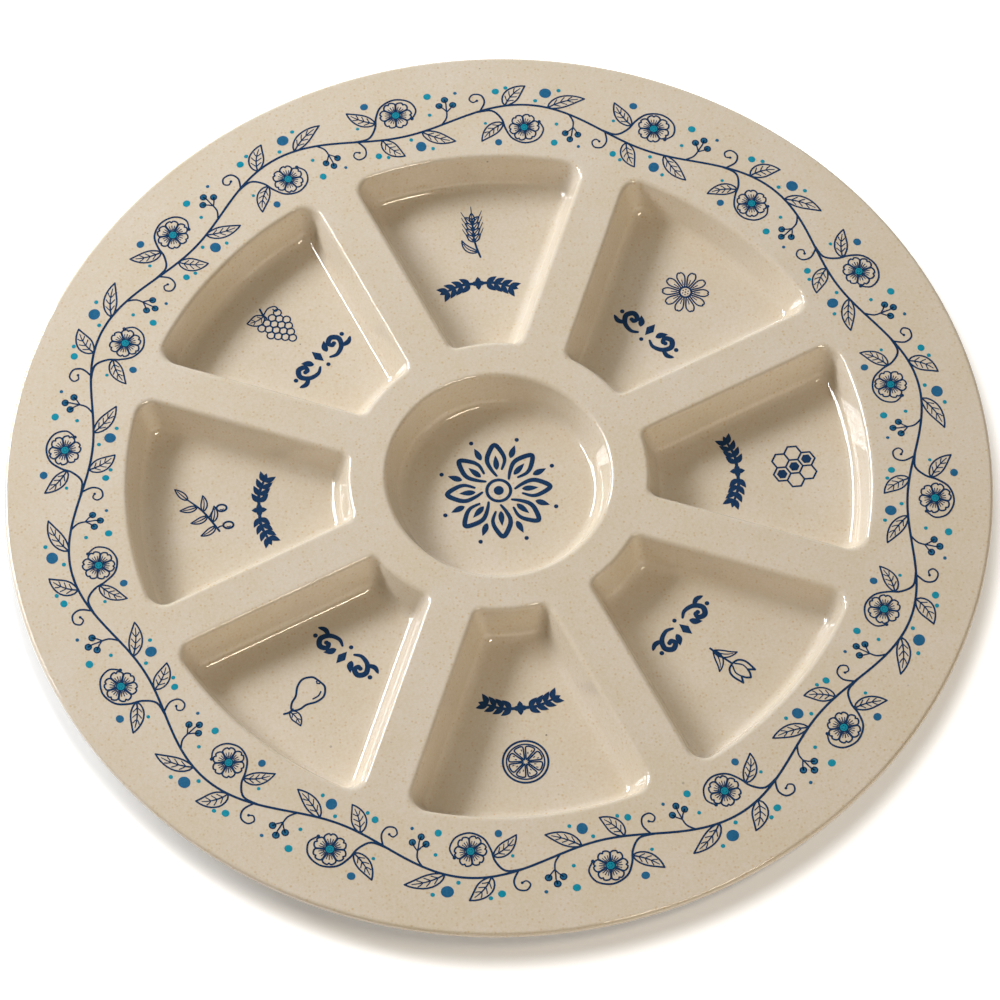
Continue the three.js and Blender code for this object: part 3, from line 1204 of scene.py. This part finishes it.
@dataclass(frozen=True)
class Wiring:
    """Adds nodes to a shader tree and joins them."""

    tree: bpy.types.ShaderNodeTree

    def put(self, target: Socket, value: Socket | float | Tone) -> None:
        """Links or writes a value into a socket."""
        if isinstance(value, Socket):
            self.tree.links.new(value, target)
        elif isinstance(value, tuple):
            target.default_value = (*value, 1) if target.type == "RGBA" else value
        else:
            target.default_value = value

    def node(
        self, kind: str, values: dict[str, Socket | float | Tone], **settings: str
    ) -> bpy.types.Node:
        """Adds a node.

        Args:
            kind: The node's type.
            values: What goes into its inputs, by their names.
            **settings: The node's own properties.

        Returns:
            The node.
        """
        made = self.tree.nodes.new(kind)
        for name, setting in settings.items():
            setattr(made, name, setting)
        for name, value in values.items():
            self.put(made.inputs[name], value)
        return made

    def math(
        self,
        operation: str,
        a: Socket | float,
        b: Socket | float = 0.0,
        c: Socket | float = 0.0,
    ) -> Socket:
        """The result of one step of arithmetic."""
        made = self.tree.nodes.new("ShaderNodeMath")
        made.operation = operation
        for target, value in zip(made.inputs, (a, b, c)):
            self.put(target, value)
        return made.outputs[0]

    def noise(
        self, spot: Socket, scale: Socket | float, detail: float, roughness: float = 0.5
    ) -> Socket:
        """Noise at a place, from 0 to 1."""
        values = {"Vector": spot, "Scale": scale, "Detail": detail, "Roughness": roughness}
        return self.node("ShaderNodeTexNoise", values).outputs["Fac"]

    def fade(self, value: Socket, start: Socket | float, end: Socket | float) -> Socket:
        """A smooth step of a value: 0 at the start, 1 at the end."""
        values = {"Value": value, "From Min": start, "From Max": end}
        made = self.node("ShaderNodeMapRange", values, interpolation_type="SMOOTHSTEP")
        return made.outputs["Result"]

    def mix(self, share: Socket | float, a: Socket | Tone, b: Socket | Tone) -> Socket:
        """Two colours mixed."""
        made = self.tree.nodes.new("ShaderNodeMix")
        made.data_type = "RGBA"
        for target, value in ((made.inputs[0], share), (made.inputs[6], a), (made.inputs[7], b)):
            self.put(target, value)
        return made.outputs[2]


class Effect:
    """A shader node group that several finishes share, built on its first use."""

    name = ""
    inputs: dict[str, float] = {}
    outputs: tuple[str, ...] = ()

    def wire(self, kit: Wiring, start: bpy.types.Node) -> tuple[Socket, ...]:
        """Wires the group from its inputs and gives what goes out."""
        raise NotImplementedError

    def tree(self) -> bpy.types.ShaderNodeTree:
        """The node group."""
        if self.name in bpy.data.node_groups:
            return bpy.data.node_groups[self.name]
        tree = bpy.data.node_groups.new(self.name, "ShaderNodeTree")
        tree.interface.new_socket("Vector", in_out="INPUT", socket_type="NodeSocketVector")
        for name, value in self.inputs.items():
            socket = tree.interface.new_socket(name, in_out="INPUT", socket_type="NodeSocketFloat")
            socket.default_value = value
        for name in self.outputs:
            tree.interface.new_socket(name, in_out="OUTPUT", socket_type="NodeSocketFloat")
        start, end = tree.nodes.new("NodeGroupInput"), tree.nodes.new("NodeGroupOutput")
        for target, value in zip(end.inputs, self.wire(Wiring(tree), start)):
            tree.links.new(value, target)
        return tree

    def place(self, kit: Wiring, spot: Socket, **values: float) -> bpy.types.Node:
        """Places the group in a finish.

        Args:
            kit: The finish's wiring.
            spot: The place on the object.
            **values: The group's inputs.

        Returns:
            The group's node.
        """
        node = kit.tree.nodes.new("ShaderNodeGroup")
        node.node_tree = self.tree()
        kit.put(node.inputs["Vector"], spot)
        for name, value in values.items():
            kit.put(node.inputs[name], value)
        return node


class Mottle(Effect):
    """Soft cloudiness: how far a spot leans to the second colour."""

    name = "mottle"
    inputs = {"Grain": 0.002, "Low": 0.35, "High": 0.65}
    outputs = ("Share",)

    def wire(self, kit: Wiring, start: bpy.types.Node) -> tuple[Socket, ...]:
        """Noise of a grain given in metres, stretched between two limits."""
        scale = kit.math("DIVIDE", 1.0, start.outputs["Grain"])
        noise = kit.noise(start.outputs["Vector"], scale, 3.0, 0.6)
        return (kit.fade(noise, start.outputs["Low"], start.outputs["High"]),)


class Flecks(Effect):
    """Scattered flecks of fibre: where they lie and how strongly each one shows."""

    name = "flecks"
    inputs = {"Spacing": 0.0012, "Share": 0.2, "Size": 0.35, "Softness": 0.15, "Wander": 0.3}
    outputs = ("Mask",)
    faintest = 0.3

    def wire(self, kit: Wiring, start: bpy.types.Node) -> tuple[Socket, ...]:
        """Cells of which a share holds a fleck, bent out of round by noise."""
        scale = kit.math("DIVIDE", 1.0, start.outputs["Spacing"])
        spot = start.outputs["Vector"]
        cells = kit.node("ShaderNodeTexVoronoi", {"Vector": spot, "Scale": scale})
        bend = kit.math("SUBTRACT", kit.noise(spot, scale, 2.0), 0.5)
        bent = kit.math("MULTIPLY", bend, start.outputs["Wander"])
        reach = kit.math("ADD", cells.outputs["Distance"], bent)
        inner = kit.math("SUBTRACT", start.outputs["Size"], start.outputs["Softness"])
        fleck = kit.fade(reach, start.outputs["Size"], inner)
        parts = kit.node("ShaderNodeSeparateColor", {"Color": cells.outputs["Color"]})
        chosen = kit.math("LESS_THAN", parts.outputs[0], start.outputs["Share"])
        strength = kit.math("MULTIPLY_ADD", parts.outputs[1], 1 - self.faintest, self.faintest)
        return (kit.math("MULTIPLY", kit.math("MULTIPLY", fleck, chosen), strength),)


class Glaze(Effect):
    """The pressed, glossy skin: faint ripples and uneven gloss."""

    name = "glaze"
    inputs = {"Ripple": 0.006, "Gloss": 0.05, "Spread": 0.02}
    outputs = ("Height", "Roughness")
    veil_scale = 140.0

    def wire(self, kit: Wiring, start: bpy.types.Node) -> tuple[Socket, ...]:
        """Ripples of a length given in metres, and roughness that varies round the gloss."""
        scale = kit.math("DIVIDE", 1.0, start.outputs["Ripple"])
        broad = kit.noise(start.outputs["Vector"], scale, 1.0, 0.3)
        veil = kit.noise(start.outputs["Vector"], self.veil_scale, 4.0, 0.65)
        spread = kit.math("MULTIPLY", kit.math("SUBTRACT", veil, 0.5), start.outputs["Spread"])
        return broad, kit.math("ADD", spread, start.outputs["Gloss"])


@dataclass(frozen=True)
class Patches:
    """Soft patches of a second tone: their grain in metres, their limits and their weight."""

    grain: float
    low: float
    high: float
    weight: float

    def share(self, kit: Wiring, spot: Socket) -> Socket:
        """How far a spot lies in a patch."""
        placed = Mottle().place(kit, spot, Grain=self.grain, Low=self.low, High=self.high)
        return placed.outputs["Share"]


@dataclass(frozen=True)
class Fleck:
    """One kind of fleck: spacing in metres, the share of cells that hold one, and sizes in cells."""

    tone: Tone
    strength: float
    spacing: float
    share: float
    size: float
    softness: float

    def over(self, kit: Wiring, spot: Socket, ground: Socket) -> Socket:
        """Scatters the flecks over a colour."""
        placed = Flecks().place(
            kit, spot, Spacing=self.spacing, Share=self.share, Size=self.size, Softness=self.softness
        )
        shown = kit.math("MULTIPLY", placed.outputs["Mask"], self.strength)
        return kit.mix(shown, ground, self.tone)


@dataclass(frozen=True)
class Finish:
    """A glossy finish: its colour comes from its kind, and its skin is shared."""

    name: str
    ripple: float = 0.012
    ripple_depth: float = 0.0000008
    gloss: float = 0.012
    gloss_spread: float = 0.01
    ior: float = 1.62

    def colour(self, kit: Wiring, spot: Socket) -> Socket:
        """The colour at a place on the object."""
        raise NotImplementedError

    def patched(
        self, kit: Wiring, spot: Socket, tones: tuple[Tone, Tone], broad: Patches, fine: Patches
    ) -> Socket:
        """Two tones mixed in broad and in fine patches."""
        share = kit.math("MULTIPLY", broad.share(kit, spot), broad.weight)
        share = kit.math("MULTIPLY_ADD", fine.share(kit, spot), fine.weight, share)
        return kit.mix(share, *tones)

    def material(self) -> bpy.types.Material:
        """Builds the material."""
        made = bpy.data.materials.new(self.name)
        made.use_nodes = True
        kit = Wiring(made.node_tree)
        shader = made.node_tree.nodes["Principled BSDF"]
        spot = kit.node("ShaderNodeTexCoord", {}).outputs["Object"]
        kit.put(shader.inputs["Base Color"], self.colour(kit, spot))
        kit.put(shader.inputs["IOR"], self.ior)
        skin = Glaze().place(
            kit, spot, Ripple=self.ripple, Gloss=self.gloss, Spread=self.gloss_spread
        ).outputs
        kit.put(shader.inputs["Roughness"], skin["Roughness"])
        relief = {"Strength": 1.0, "Distance": self.ripple_depth, "Height": skin["Height"]}
        kit.put(shader.inputs["Normal"], kit.node("ShaderNodeBump", relief).outputs["Normal"])
        return made


@dataclass(frozen=True)
class CompoundFinish(Finish):
    """Pressed compound of plant fibre and resin: beige, mottled, with fine fibre flecks."""

    pale: Tone = (0.745, 0.667, 0.568)
    warm: Tone = (0.675, 0.565, 0.402)
    broad: Patches = Patches(0.022, 0.3, 0.7, 0.3)
    fine: Patches = Patches(0.0008, 0.34, 0.66, 0.45)
    ochre: Fleck = Fleck((0.64, 0.47, 0.27), 0.85, 0.0012, 0.36, 0.42, 0.252)
    brown: Fleck = Fleck((0.36, 0.22, 0.11), 0.40, 0.0016, 0.08, 0.22, 0.132)
    dark: Fleck = Fleck((0.10, 0.06, 0.035), 0.70, 0.0070, 0.10, 0.05, 0.030)

    def colour(self, kit: Wiring, spot: Socket) -> Socket:
        """Clouds and a fine mottle, then ochre, brown and dark flecks."""
        tone = self.patched(kit, spot, (self.pale, self.warm), self.broad, self.fine)
        for fleck in (self.ochre, self.brown, self.dark):
            tone = fleck.over(kit, spot, tone)
        return tone


@dataclass(frozen=True)
class InkFinish(Finish):
    """Printed ink under the same glossy skin."""

    deep: Tone = (0.010, 0.035, 0.100)
    thin: Tone = (0.020, 0.058, 0.140)
    broad: Patches = Patches(0.006, 0.3, 0.7, 0.4)
    fine: Patches = Patches(0.0006, 0.35, 0.7, 0.55)

    def colour(self, kit: Wiring, spot: Socket) -> Socket:
        """Ink that lies a little thinner in places, and is worn in specks."""
        tone = self.patched(kit, spot, (self.deep, self.thin), self.broad, self.fine)
        worn = Fleck(self.thin, strength=0.3, spacing=0.0011, share=0.12, size=0.3, softness=0.2)
        return worn.over(kit, spot, tone)


class Shows(Enum):
    """Where a lamp shows: in shade and gloss alike, or in one of them."""

    BOTH = "both"
    GLOSS = "gloss"
    SHADE = "shade"


@dataclass(frozen=True)
class Lamp:
    """A soft rectangular lamp aimed at the plate.

    Its place is an azimuth and an elevation in degrees and a distance in metres. Its size is in metres,
    its power in watts, and it is tilted by some degrees about the line to the plate.
    """

    name: str
    place: Spot
    size: tuple[float, float]
    power: float
    colour: Tone = WHITE
    tilt: float = 0.0
    shows: Shows = Shows.BOTH

    def hang(self) -> None:
        """Hangs the lamp at its place."""
        data = bpy.data.lights.new(self.name, "AREA")
        data.shape = "RECTANGLE"
        data.size, data.size_y = self.size
        data.energy, data.color = self.power, self.colour
        lamp = bpy.data.objects.new(self.name, data)
        bpy.context.scene.collection.objects.link(lamp)
        azimuth, elevation, distance = self.place
        way = direction(azimuth, elevation)
        lamp.location = way * distance
        tilt = Matrix.Rotation(math.radians(self.tilt), 3, "Z")
        lamp.rotation_euler = (way.to_track_quat("Z", "Y").to_matrix() @ tilt).to_euler()
        lamp.visible_diffuse = self.shows is not Shows.GLOSS
        lamp.visible_glossy = self.shows is not Shows.SHADE


def direction(azimuth: float, elevation: float) -> Vector:
    """The unit vector towards an azimuth from +X and an elevation, both in degrees."""
    a, e = math.radians(azimuth), math.radians(elevation)
    return Vector((math.cos(e) * math.cos(a), math.cos(e) * math.sin(a), math.sin(e)))


@dataclass(frozen=True)
class Studio:
    """White floor, soft lamps and the camera at the photograph's view."""

    aim: Spot = (-0.00035, -0.00978, 0.0148)
    azimuth: float = -94.228
    elevation: float = 62.749
    distance: float = 1.472
    roll: float = 0.904
    lens: float = 159.19
    sensor: float = 36.0
    floor_size: float = 6.0
    floor_roughness: float = 0.9
    floor_tone: Tone = (0.85, 0.85, 0.85)
    # Glow under the plate and beyond it, and the radii between which it rises; the low glow under the
    # plate is a painted shadow.
    glow_and_painted_shadow: tuple[float, float] = (0.20, 0.90)
    painted_shadow_radii: tuple[float, float] = (0.165, 0.174)
    world_level: float = 0.02

    def camera(self) -> None:
        """Places the camera."""
        data = bpy.data.cameras.new("camera")
        data.lens, data.sensor_width = self.lens, self.sensor
        camera = bpy.data.objects.new("camera", data)
        bpy.context.scene.collection.objects.link(camera)
        way = direction(self.azimuth, self.elevation)
        roll = Matrix.Rotation(math.radians(-self.roll), 3, "Z")
        turn = way.to_track_quat("Z", "Y").to_matrix() @ roll
        place = Vector(self.aim) + way * self.distance
        camera.matrix_world = Matrix.LocRotScale(place, turn.to_quaternion(), None)
        bpy.context.scene.camera = camera

    def floor_finish(self) -> bpy.types.Material:
        """Paper that looks white to the camera round the plate, with a painted shadow: its glow drops
        low under and just round the plate.
        """
        material = bpy.data.materials.new("floor")
        material.use_nodes = True
        kit = Wiring(material.node_tree)
        shader = material.node_tree.nodes["Principled BSDF"]
        kit.put(shader.inputs["Base Color"], self.floor_tone)
        kit.put(shader.inputs["Roughness"], self.floor_roughness)
        path = kit.node("ShaderNodeLightPath", {}).outputs
        seen = kit.math("MAXIMUM", path["Is Camera Ray"], path["Is Glossy Ray"])
        seen = kit.math("MAXIMUM", seen, path["Is Transmission Ray"])
        spot = kit.node("ShaderNodeTexCoord", {}).outputs["Object"]
        reach = kit.node("ShaderNodeVectorMath", {"Vector": spot}, operation="LENGTH")
        # Painted shadow: the glow is low under and just round the plate and rises to its full level
        # beyond these radii.
        outside = kit.fade(reach.outputs["Value"], *self.painted_shadow_radii)
        under, beyond = self.glow_and_painted_shadow
        level = kit.math("MULTIPLY_ADD", outside, beyond - under, under)
        kit.put(shader.inputs["Emission Color"], WHITE)
        kit.put(shader.inputs["Emission Strength"], kit.math("MULTIPLY", seen, level))
        return material

    def floor(self) -> None:
        """Lays the floor."""
        half = self.floor_size / 2
        mesh = bpy.data.meshes.new("floor")
        corners = [(x, y, 0) for x, y in rectangle((-half, -half), (half, half))]
        mesh.from_pydata(corners, [], [(0, 1, 2, 3)])
        mesh.materials.append(self.floor_finish())
        piece_from("floor", mesh)

    def world(self) -> None:
        """Lights the room evenly."""
        world = bpy.data.worlds.new("room")
        bpy.context.scene.world = world
        world.use_nodes = True
        back = world.node_tree.nodes["Background"]
        back.inputs["Color"].default_value = (*WHITE, 1)
        back.inputs["Strength"].default_value = self.world_level

    def lamps(self) -> list[Lamp]:
        """The soft lamps.

        The key and the narrow strip beside it stand behind the plate on the left. A broad cool lamp
        behind it fills the shade. Two warm lamps hang over the plate and stand before it.
        """
        return [
            Lamp("key", (144, 30, 1.4), (0.77, 0.28), 18.2, (0.95, 0.97, 1.0)),
            Lamp("strip", (157, 44, 1.0), (0.36, 0.1), 3.6, tilt=18, shows=Shows.GLOSS),
            Lamp("back", (115, 24, 1.5), (2.2, 0.9), 14.5, (0.88, 0.94, 1.0), shows=Shows.SHADE),
            Lamp("overhead", (-47, 68, 1.6), (0.5, 0.12), 6.2, (1.0, 0.86, 0.66)),
            Lamp("low", (-65, 20, 1.5), (2.2, 0.9), 8.0, (1.0, 0.88, 0.70)),
        ]

    def build(self) -> None:
        """Sets up floor, lamps, world and camera."""
        self.camera()
        self.floor()
        self.world()
        for lamp in self.lamps():
            lamp.hang()
        bpy.context.scene.view_settings.view_transform = "Standard"


def prints(face: float, floor: float) -> list[bpy.types.Object]:
    """Makes every print.

    Args:
        face: Height of the rim's face.
        floor: Height of the wells' floors.

    Returns:
        The pieces.
    """
    inks = {
        Tint.NAVY: InkFinish("navy_ink"),
        Tint.BLUE: InkFinish("blue_ink", deep=(0.018, 0.120, 0.260), thin=(0.035, 0.170, 0.330)),
        Tint.TURQUOISE: InkFinish(
            "turquoise_ink", deep=(0.008, 0.265, 0.390), thin=(0.025, 0.330, 0.450)
        ),
    }
    finishes = {tint: ink.material() for tint, ink in inks.items()}
    made = RimPrint(face).build(finishes)
    for i, figure in enumerate(Figure):
        garland = list(Garland)[i % len(Garland)]
        made.append(WellPrint(floor, figure, garland).build(i + 1, finishes[Tint.NAVY]))
    made.extend(CentrePrint(floor).build(finishes[Tint.NAVY]))
    return made


def main() -> None:
    """Builds the plate and the studio, and keeps the sizes of both models."""
    logging.basicConfig(level=logging.INFO, format="%(name)s: %(message)s")
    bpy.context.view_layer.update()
    low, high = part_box("plate_body")
    shell = PlateShell(radius=(high[0] - low[0]) / 2 / MM, height=(high[2] - low[2]) / MM)
    pieces = [shell.build(CompoundFinish("compound").material())]
    pieces.extend(prints(shell.height, shell.wall))
    for piece in pieces:
        log.info("%s: %d faces", piece.name, len(piece.data.polygons))
    Studio().build()


if __name__ == "__main__":
    main()
